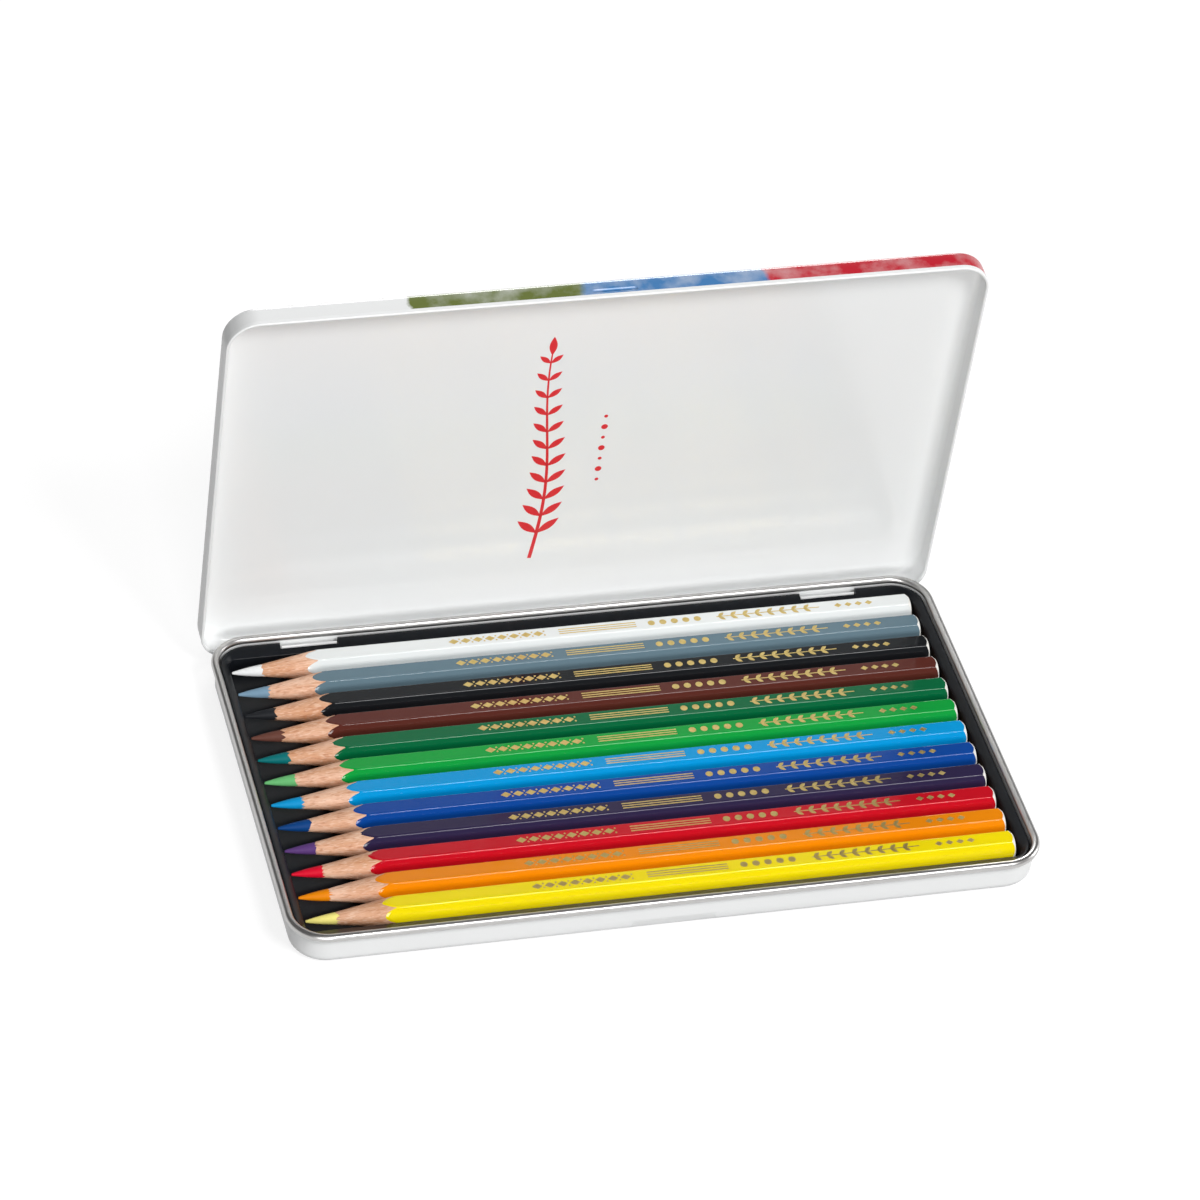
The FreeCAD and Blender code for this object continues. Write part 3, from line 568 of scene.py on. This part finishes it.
def make_lid():
    """The lid as one sheet with a hemmed edge, a snap dimple and two hinge tongues."""
    edge = (-LID_EDGE, LID_TOP - LID_EDGE)
    wall_levels = [DIMPLE_Z + DIMPLE_ROW * i for i in range(-DIMPLE_ROWS, DIMPLE_ROWS + 1)]
    hem_top = LID_RIM + HEM_HIGH
    section = [(-LID_EDGE - PANEL_GUARD, LID_TOP, 0)]
    section += [(u, z, 0) for u, z in arc(edge, LID_EDGE, 90, 0, BEND_STEPS)]
    section += [(0.0, z, 0) for z in reversed(wall_levels)]
    section += [(0.0, hem_top - HEM_GUARD, 1)]
    hem_low = LID_RIM + HEM_ROUND
    hem_in = HEM_ROUND - HEM_THICK
    hem = arc((-HEM_ROUND, hem_low), HEM_ROUND, 0, -90, EDGE_STEPS)
    hem += arc((hem_in, hem_low), HEM_ROUND, -90, -180, EDGE_STEPS)
    hem += arc((hem_in, hem_top - HEM_ROUND), HEM_ROUND, 180, 90, EDGE_STEPS)
    section += [(u, z, 1) for u, z in hem]
    section += [(-TINPLATE, hem_top, 1)]
    section += [(-TINPLATE, z, 1) for z in wall_levels]
    section += [(u, z, 1) for u, z in arc(edge, LID_EDGE - TINPLATE, 0, 90, BEND_STEPS)]
    section += [(-LID_EDGE - PANEL_GUARD, LID_TOP - TINPLATE, 1)]
    inward = [DIMPLE_REACH - DIMPLE_COLUMN * i for i in range(DIMPLE_COLUMNS)]
    dimple_cuts = [-x for x in inward] + DIMPLE_MIDDLE + inward
    skin = Skin()
    rows = []
    for outset, z, finish in section:
        loop = rounded_loop(LID_X, LID_FRONT, LID_REAR, LID_CORNER, outset, dimple_cuts)
        shaped = []
        for x, y in loop:
            push = 0.0
            if outset == 0.0 and y < 0:
                push = dimple_press(x, z, DIMPLE_RADIUS)
            if outset == -TINPLATE and y < 0:
                push = max(dimple_press(x, z, DIMPLE_RADIUS + TINPLATE) - TINPLATE, 0.0)
            shaped.append(swing(x, y + push, z))
        rows.append(skin.row(shaped))
    for i in range(len(rows) - 1):
        skin.band(rows[i], rows[i + 1], max(section[i][2], section[i + 1][2]))
    skin.face(rows[0], 0)
    skin.face(list(reversed(rows[-1])), 1)
    for middle in (-TONGUE_X, TONGUE_X):
        rings = []
        for i in range(TONGUE_STEPS + 1):
            turn = math.radians(TONGUE_TOP + (TONGUE_END - TONGUE_TOP) * i / TONGUE_STEPS)
            ring = []
            for side, face in ((-1, 1), (1, 1), (1, -1), (-1, -1)):
                radius = TONGUE_RADIUS + face * TINPLATE / 2
                x = middle + side * TONGUE_HALF
                ring.append(swing(x, radius * math.cos(turn), radius * math.sin(turn)))
            rings.append(skin.row(ring))
        for a, b in zip(rings, rings[1:]):
            skin.band(a, b, 1)
        skin.face(list(reversed(rings[0])), 1)
        skin.face(rings[-1], 1)
    make_piece("tin_lid", skin, "lid", [PRINTED_TIN, WHITE_TIN], ["lid_shell"])


def make_tray():
    """The tray as one formed sheet: well, ledge and skirt, with rear notches and ridges on its floor."""
    floor_under = WELL_FLOOR - TRAY_SHEET
    brink = TRAY_LEDGE - LEDGE_FALL
    ledge_under = brink - TRAY_SHEET
    rear_cuts = [-SLOT_FAR, -SLOT_NEAR, SLOT_NEAR, SLOT_FAR]
    well = (WELL_X, WELL_Y, WELL_CORNER)
    rim = (TRAY_X, TRAY_Y, TRAY_CORNER)

    def around(outline, outset, z):
        """A row round the tray, at an outset from the outline of its well or its rim."""
        half_x, half_y, corner = outline
        loop = rounded_loop(half_x, -half_y, half_y, corner, outset, (), rear_cuts)
        return [(x, y, z) for x, y in loop]

    def falling(share):
        """A row on the ledge's slope, part of the way from its lip to the brink of the well."""
        lip = around(rim, -LEDGE_LIP, TRAY_LEDGE)
        foot = around(well, 0.0, brink)
        return [[p + (q - p) * share for p, q in zip(a, b)] for a, b in zip(lip, foot)]

    width = TRAY_Y - LEDGE_LIP - WELL_Y
    lean = math.atan2(LEDGE_FALL, width)
    rim_edge = arc((-TRAY_EDGE, TRAY_LEDGE - TRAY_EDGE), TRAY_EDGE, 0, 90, EDGE_STEPS)
    brink_centre = (TRAY_EDGE, brink + TRAY_EDGE * (math.tan(lean) - 1 / math.cos(lean)))
    brink_edge = arc(brink_centre, TRAY_EDGE, 90 + math.degrees(lean), 180, EDGE_STEPS)
    well_foot = arc((-TRAY_EDGE, WELL_FLOOR + TRAY_EDGE), TRAY_EDGE, 0, -90, EDGE_STEPS)
    lines = [around(well, -UNDER_GUARD, floor_under), around(well, 0.0, floor_under)]
    lines += [around(well, 0.0, WELL_FOOT), around(well, TRAY_SHEET, WELL_FOOT)]
    lines += [around(well, TRAY_SHEET, ledge_under)]
    notch_start = len(lines)
    lines += [around(rim, -NOTCH_INSET, ledge_under), around(rim, -TRAY_SHEET, ledge_under)]
    lines += [around(rim, -TRAY_SHEET, TRAY_SKIRT), around(rim, 0.0, TRAY_SKIRT)]
    lines += [around(rim, u, z) for u, z in rim_edge]
    lines += [around(rim, LIP_GUARD - LEDGE_LIP, TRAY_LEDGE), falling(FALL_GUARD)]
    notch_end = len(lines)
    lines += [falling(share) for share in ((NOTCH_INSET - LEDGE_LIP) / width, *FALL_SHARES)]
    lines += [around(well, u, z) for u, z in brink_edge + well_foot]
    lines += [around(well, -TRAY_EDGE - WELL_GUARD, WELL_FLOOR)]
    skin = Skin()
    rows = [skin.row(line) for line in lines]
    loop = rounded_loop(TRAY_X, -TRAY_Y, TRAY_Y, TRAY_CORNER, 0.0, (), rear_cuts)
    notch_columns = [i for i, (x, y) in enumerate(loop) if y == TRAY_Y and x in (SLOT_FAR, -SLOT_NEAR)]
    for i in range(len(rows) - 1):
        gaps = notch_columns if notch_start <= i < notch_end else ()
        skin.band(rows[i], rows[i + 1], 0, gaps)
    skin.face(list(reversed(rows[0])))
    skin.face(rows[-1])
    for column in notch_columns:
        for side in (column, column + 1):
            skin.face([rows[i][side] for i in range(notch_start, notch_end + 1)])
        skin.face((rows[notch_start][column], rows[notch_start][column + 1],
                   rows[notch_end][column + 1], rows[notch_end][column]))
    # A ridge stands midway between each pencil and the next
    half = [(RIDGE_CREST, RIDGE_HIGH), (RIDGE_CREST + RIDGE_BEVEL, RIDGE_HIGH - RIDGE_BEVEL_HIGH)]
    half += [(RIDGE_FOOT, 0.0), (RIDGE_FOOT, -RIDGE_SUNK)]
    profile = [(-across, up) for across, up in reversed(half)] + half
    middles = [(pencil_axis(a)[0] + pencil_axis(b)[0]) / 2 for a, b in zip(COLOURS, COLOURS[1:])]
    for y in middles:
        ends = []
        for x in (RIDGE_FROM, RIDGE_TO):
            ends.append(skin.row([(x, y + across, WELL_FLOOR + up) for across, up in profile]))
        skin.band(ends[0], ends[1])
        skin.face(list(reversed(ends[0])))
        skin.face(ends[1])
    make_piece("insert_tray", skin, "tin", [TRAY_PLASTIC], ["pencil_tray"])


def pencil_axis(colour):
    """The y and z of a pencil's axis."""
    low, high = node_box(colour + "_lead")
    return (low.y + high.y) / 2, (low.z + high.z) / 2


def hexagon_outline(apothem, edge_radius, flat_steps=12, edge_steps=EDGE_STEPS):
    """A hexagon with rounded edges as (across, up), its first facet on top, turning towards the front."""
    outline = []
    half = (apothem - edge_radius) * math.tan(math.radians(30))
    for facet in range(6):
        facing = math.radians(90 + 60 * facet)
        normal = (math.cos(facing), math.sin(facing))
        along = (-math.sin(facing), math.cos(facing))
        steps = [(half - EDGE_GUARD) * (2 * i / flat_steps - 1) for i in range(flat_steps + 1)]
        for step in (-half, *steps, half):
            outline.append((normal[0] * apothem + along[0] * step, normal[1] * apothem + along[1] * step))
        centre = (apothem - edge_radius) / math.cos(math.radians(30))
        bend = facing + math.radians(30)
        for i in range(1, edge_steps):
            turn = facing + math.radians(60) * i / edge_steps
            outline.append((centre * math.cos(bend) + edge_radius * math.cos(turn),
                            centre * math.sin(bend) + edge_radius * math.sin(turn)))
    return outline


def ragged_edge(rng, count, teeth, shallow, deep):
    """A closed run of offsets with uneven pointed teeth."""
    starts = sorted(rng.sample(range(count), teeth))
    depths = [rng.uniform(shallow, deep) for tooth in starts]
    edge = [0.0] * count
    for k, start in enumerate(starts):
        span = (starts[(k + 1) % teeth] - start) % count or count
        for i in range(span):
            bend = 1 - abs(2 * i / span - 1)
            edge[(start + i) % count] = depths[k] * bend
    return edge


def cone_radius(distance):
    """Radius of the sharpened cone at a distance from the pencil's tip."""
    return TIP_RADIUS + distance * CONE_SLOPE


def make_pencil(colour, number):
    """One pencil: lead, casing and coat, with foil marks on its top facet."""
    rng = random.Random(FIRST_SEED + number)
    low, high = node_box(colour + "_lead")
    tip = low.x
    length = high.x - low.x
    axis_y, axis_z = pencil_axis(colour)
    body = colour + "_pencil"
    coat_shade, lead_shade = SHADES[colour]
    lead_finish = pigment_lead(colour, lead_shade)
    coat_finish = pencil_lacquer(colour, coat_shade)

    def ring(distances, outline, scale=1.0):
        """A closed row of points at distances from the tip, on a scaled outline."""
        return [(tip + d, axis_y + across * scale, axis_z + up * scale)
                for d, (across, up) in zip(distances, outline)]

    # The lead runs the whole length and is cut to a blunt point
    turns = [2 * math.pi * i / LEAD_STEPS for i in range(LEAD_STEPS)]
    circle = [(math.cos(t), math.sin(t)) for t in turns]
    skin = Skin()
    swell = [LEAD_SWELL * math.sin(math.pi * d / LEAD_SHOWING) for d in LEAD_ROWS]
    profile = LEAD_POINT + [(d, cone_radius(d) + more) for d, more in zip(LEAD_ROWS, swell)]
    profile += [(LEAD_SHOWING + LEAD_SHOULDER, LEAD_RADIUS), (length, LEAD_RADIUS)]
    rows = [skin.row(ring([d] * LEAD_STEPS, circle, radius)) for d, radius in profile]
    for a, b in zip(rows, rows[1:]):
        skin.band(a, b)
    skin.face(list(reversed(rows[0])))
    skin.face(rows[-1])
    make_piece(colour + "_pigment_core", skin, body, [lead_finish], [colour + "_lead"])

    # The casing follows the cone from a chipped edge at the lead, then the hexagon under the coat
    casing = hexagon_outline(FLATS_HALF - COAT, CASING_EDGE)
    count = len(casing)
    reach = [math.hypot(across, up) for across, up in casing]
    round_out = [(across / r, up / r) for (across, up), r in zip(casing, reach)]
    chips = ragged_edge(rng, count, rng.randint(*CHIP_TEETH), *CHIP_DEPTH)
    skin = Skin()
    front = [LEAD_SHOWING + CHIP_START + chip for chip in chips]
    shoulder = [(r - TIP_RADIUS) / CONE_SLOPE for r in reach]
    bore = LEAD_RADIUS + BORE_GAP
    rows = [skin.row(ring([length] * count, round_out, bore)), skin.row(ring(front, round_out, bore))]
    for share in CASING_SHARES:
        distances = [a + (b - a) * share for a, b in zip(front, shoulder)]
        rows.append(skin.row([
            (tip + d, axis_y + cone_radius(d) * across, axis_z + cone_radius(d) * up)
            for d, (across, up) in zip(distances, round_out)]))
    end_radius = FLATS_HALF - COAT - END_SETBACK
    ends = [length - END_BEVEL * (r - end_radius) for r in reach]
    rows.append(skin.row(ring(ends, casing)))
    rows.append(skin.row(ring([length] * count, round_out, end_radius)))
    for a, b in zip(rows[:-1], rows[1:-1]):
        skin.band(a, b)
    skin.band(rows[-2], rows[-1], 1)
    skin.band(rows[-1], rows[0])
    make_piece(colour + "_cedar_casing", skin, body, [CEDAR, PRIMER], [colour + "_casing"])

    # The coat is a thin tube whose front edge was cut back unevenly by the sharpener
    outer = hexagon_outline(FLATS_HALF, COAT_EDGE)
    outer_reach = [math.hypot(across, up) for across, up in outer]
    trim = ragged_edge(rng, count, rng.randint(*TRIM_TEETH), *TRIM_DEPTH)
    inner_front = [s + t for s, t in zip(shoulder, trim)]
    outer_front = [(r - TIP_RADIUS) / CONE_SLOPE + t for r, t in zip(outer_reach, trim)]
    outer_end = [length - END_BEVEL * (r - FLATS_HALF + COAT) for r in outer_reach]
    guard = [d + FRONT_GUARD for d in outer_front]
    primer = [d - PRIMER_BAND for d in outer_end]
    skin = Skin()
    rows = [skin.row(ring(distances, casing)) for distances in (ends, inner_front)]
    rows += [skin.row(ring(distances, outer)) for distances in (outer_front, guard, primer, outer_end)]
    for a, b in zip(rows[:4], rows[1:5]):
        skin.band(a, b)
    skin.band(rows[4], rows[5], 1)
    skin.band(rows[5], rows[0], 1)
    lacquer = colour + "_lacquer"
    make_piece(colour + "_dipped_coat", skin, body, [coat_finish, PRIMER], [lacquer])

    make_foil_marks(colour, tip, axis_y, axis_z + FLATS_HALF, body)


def lozenge(x, y, half_length, half_width):
    """A diamond about its middle, as a closed outline."""
    return [(x - half_length, y), (x, y - half_width), (x + half_length, y), (x, y + half_width)]


def leaf(x, y, length, width, lean, steps=8):
    """A pointed leaf from its stalk, as a closed outline."""
    rise = math.radians(lean)
    outline = []
    for side, order in ((1, range(steps + 1)), (-1, range(steps - 1, 0, -1))):
        for i in order:
            along = length * i / steps
            across = side * width / 2 * math.sin(math.pi * i / steps)
            outline.append((x + along * math.cos(rise) - across * math.sin(rise),
                            y + along * math.sin(rise) + across * math.cos(rise)))
    return outline


def stroke(points, widths):
    """A ribbon along a line of points, as a closed outline."""
    left = []
    right = []
    for i, (x, y) in enumerate(points):
        before = points[max(i - 1, 0)]
        after = points[min(i + 1, len(points) - 1)]
        dx = after[0] - before[0]
        dy = after[1] - before[1]
        size = math.hypot(dx, dy)
        left.append((x - dy / size * widths[i] / 2, y + dx / size * widths[i] / 2))
        right.append((x + dy / size * widths[i] / 2, y - dx / size * widths[i] / 2))
    return left + right[::-1]


def disc(x, y, radius, steps=14):
    """A round dot, as a closed outline."""
    turns = [2 * math.pi * i / steps for i in range(steps)]
    return [(x + radius * math.cos(t), y + radius * math.sin(t)) for t in turns]


def make_foil_marks(colour, tip, axis_y, top, body):
    """Stamped gold ornament along the top facet: lozenges, dots, fine lines and a leaf garland."""
    outlines = []
    for i in range(8):
        x = FOIL_FROM + LOZENGE_PITCH * i
        outlines.append(lozenge(x, 0.0, 1.35, 0.95))
        for across in (0.72, -0.72):
            outlines.append(disc(x + LOZENGE_PITCH / 2, across, 0.26))
    for across in (-0.78, 0.0, 0.78):
        line = [(LINES_FROM, across), (LINES_FROM + LINES_LENGTH, across)]
        outlines.append(stroke(line, [0.34, 0.34]))
    for i in range(5):
        outlines.append(disc(DOTS_FROM + DOT_PITCH * i, 0.0, 0.92))
    outlines.append(stroke([(GARLAND_FROM, 0.0), (GARLAND_FROM + GARLAND_LENGTH, 0.0)], [0.3, 0.3]))
    for i in range(8):
        x = GARLAND_FROM + 0.5 + LEAF_PITCH * i
        for side in (1, -1):
            outlines.append(leaf(x, 0.1 * side, 2.1, 0.95, LEAF_LEAN * side))
    for i in range(4):
        outlines.append(lozenge(TAIL_FROM + TAIL_PITCH * i, 0.0, 1.0, 0.8))
    skin = Skin()
    levels = (top - MARK_SUNK, top + MARK_PROUD)
    for outline in outlines:
        skin.plate(*[[(tip + x, axis_y + y, z) for x, y in outline] for z in levels])
    make_piece(colour + "_gold_marks", skin, body, [GOLD_FOIL])


def make_lid_sprig():
    """A leafy sprig printed in red on the lid's inside, with a short row of dots beside it."""
    outlines = []
    stem = []
    widths = []
    for i in range(SPRIG_STEPS + 1):
        share = i / SPRIG_STEPS
        sway = 1.6 * math.sin(share * math.pi * 1.6)
        stem.append((SPRIG_X + sway, SPRIG_FOOT + SPRIG_HIGH * share))
        widths.append(1.0 - 0.6 * share)
    outlines.append(stroke(stem, widths))
    for i in range(3, SPRIG_STEPS, 2):
        x, up = stem[i]
        size = 7.6 - 0.16 * i
        for lean in (42, 138):
            outlines.append(leaf(x, up, size, 2.4 - 0.04 * i, lean))
    outlines.append(leaf(stem[-1][0], stem[-1][1] - 0.3, 6.2, 2.0, 90))
    for i in range(7):
        outlines.append(disc(4.0, 42.0 + 3.6 * i, 0.85 if i % 2 else 0.5))
    skin = Skin()
    inside = LID_TOP - TINPLATE
    levels = (inside + SPRIG_SUNK, inside - MARK_PROUD)
    for outline in outlines:
        skin.plate(*[[swing(x, -up, z) for x, up in outline] for z in levels])
    make_piece("lid_red_sprig", skin, "lid", [RED_INK])


make_base()
make_lid()
make_tray()
for number, colour in enumerate(COLOURS):
    make_pencil(colour, number)
make_lid_sprig()

# A plain white floor that curves up into a low backdrop all round
FLOOR_RADIUS = 4.0
FLOOR_STEPS = 96
COVE_RADIUS = 0.4
BACKDROP_HIGH = 0.8
GLOW_NEAR = 0.78
GLOW_FAR = 0.98
GLOW_FROM = 1.0
GLOW_TO = 2.2
ROOM_LEVEL = 0.14
floor_mesh = bpy.data.meshes.new("studio_floor")
sweep = [(FLOOR_RADIUS - COVE_RADIUS, 0.0)]
sweep += arc((FLOOR_RADIUS - COVE_RADIUS, COVE_RADIUS), COVE_RADIUS, -90, 0, BEND_STEPS)[1:]
sweep += [(FLOOR_RADIUS, BACKDROP_HIGH)]
card = Skin()
card_rows = []
turns = [2 * math.pi * i / FLOOR_STEPS for i in range(FLOOR_STEPS)]
for radius, z in sweep:
    card_rows.append(card.row([(radius * math.cos(t), radius * math.sin(t), z) for t in turns]))
card.face(card_rows[0])
for lower, upper in zip(card_rows, card_rows[1:]):
    card.band(lower, upper)
floor_mesh.from_pydata(card.points, [], card.faces)
floor = bpy.data.objects.new("studio_floor", floor_mesh)
bpy.context.scene.collection.objects.link(floor)
# White card: even and matt, white where it is seen or mirrored, with the tin's soft shadow on it
floor_finish, floor_tree, floor_shader, floor_place = new_finish("white_card", 0.9)
rays = put(floor_tree, "LightPath").outputs
seen = put(floor_tree, "Math", {0: rays["Is Camera Ray"], 1: rays["Is Glossy Ray"]}, operation="MAXIMUM")
clear = put(floor_tree, "Math", {0: seen.outputs[0], 1: rays["Is Transmission Ray"]}, operation="MAXIMUM")
tint = put(floor_tree, "Mix", {
    0: clear.outputs[0], 6: linear("#606060"), 7: linear("#959595")}, data_type="RGBA")
away = put(floor_tree, "VectorMath", {0: floor_place}, operation="LENGTH").outputs["Value"]
level = put(floor_tree, "MapRange", {
    "Value": away, "From Min": GLOW_FROM, "From Max": GLOW_TO, "To Min": GLOW_NEAR, "To Max": GLOW_FAR})
glow = put(floor_tree, "Math", {0: clear.outputs[0], 1: level.outputs[0]}, operation="MULTIPLY")
floor_tree.links.new(tint.outputs[2], floor_shader.inputs["Base Color"])
floor_tree.links.new(glow.outputs[0], floor_shader.inputs["Emission Strength"])
floor_shader.inputs["Emission Color"].default_value = (1.0, 1.0, 1.0, 1.0)
floor_shader.inputs["Specular IOR Level"].default_value = 0.0
floor_mesh.materials.append(floor_finish)

# The room above the backdrop is a dim, even grey
world = bpy.data.worlds.new("studio_room")
bpy.context.scene.world = world
world.use_nodes = True
background = world.node_tree.nodes["Background"]
background.inputs["Color"].default_value = (1.0, 1.0, 1.0, 1.0)
background.inputs["Strength"].default_value = ROOM_LEVEL


def add_softbox(name, place, width, height, watts):
    """A large soft lamp that faces the tin."""
    lamp = bpy.data.lights.new(name, "AREA")
    lamp.shape = "RECTANGLE"
    lamp.size = width
    lamp.size_y = height
    lamp.energy = watts
    lamp_object = bpy.data.objects.new(name, lamp)
    lamp_object.location = place
    target = Vector((0.0, 0.0, 0.03))
    lamp_object.rotation_euler = (target - Vector(place)).to_track_quat("-Z", "Y").to_euler()
    bpy.context.scene.collection.objects.link(lamp_object)


add_softbox("key_softbox", (0.42, -0.96, 1.24), 0.45, 0.45, 13.5)
add_softbox("fill_softbox", (-0.32, -1.43, 0.66), 0.5, 0.5, 13.5)
add_softbox("side_softbox", (1.46, 0.05, 0.52), 0.5, 0.5, 6.0)
add_softbox("back_softbox", (0.28, 1.56, 0.62), 0.6, 0.6, 16.0)

# The camera stands where the photograph was taken from
RIGHT = Vector((0.96622424, -0.24171366, 0.08936007))
DOWN = Vector((-0.09075377, -0.64370041, -0.75987731))
FORWARD = Vector((0.24119384, 0.72610212, -0.64389537))
CAMERA_PLACE = Vector((-324.47, -946.39, 897.44))
camera = bpy.data.cameras.new("studio_camera")
camera.sensor_width = 36.0
camera.lens = 164.25
camera_object = bpy.data.objects.new("studio_camera", camera)
turn = Matrix((RIGHT, -DOWN, -FORWARD)).transposed()
camera_object.matrix_world = Matrix.Translation(CAMERA_PLACE * MM) @ turn.to_4x4()
bpy.context.scene.collection.objects.link(camera_object)
bpy.context.scene.camera = camera_object
bpy.context.scene.view_settings.view_transform = "Standard"
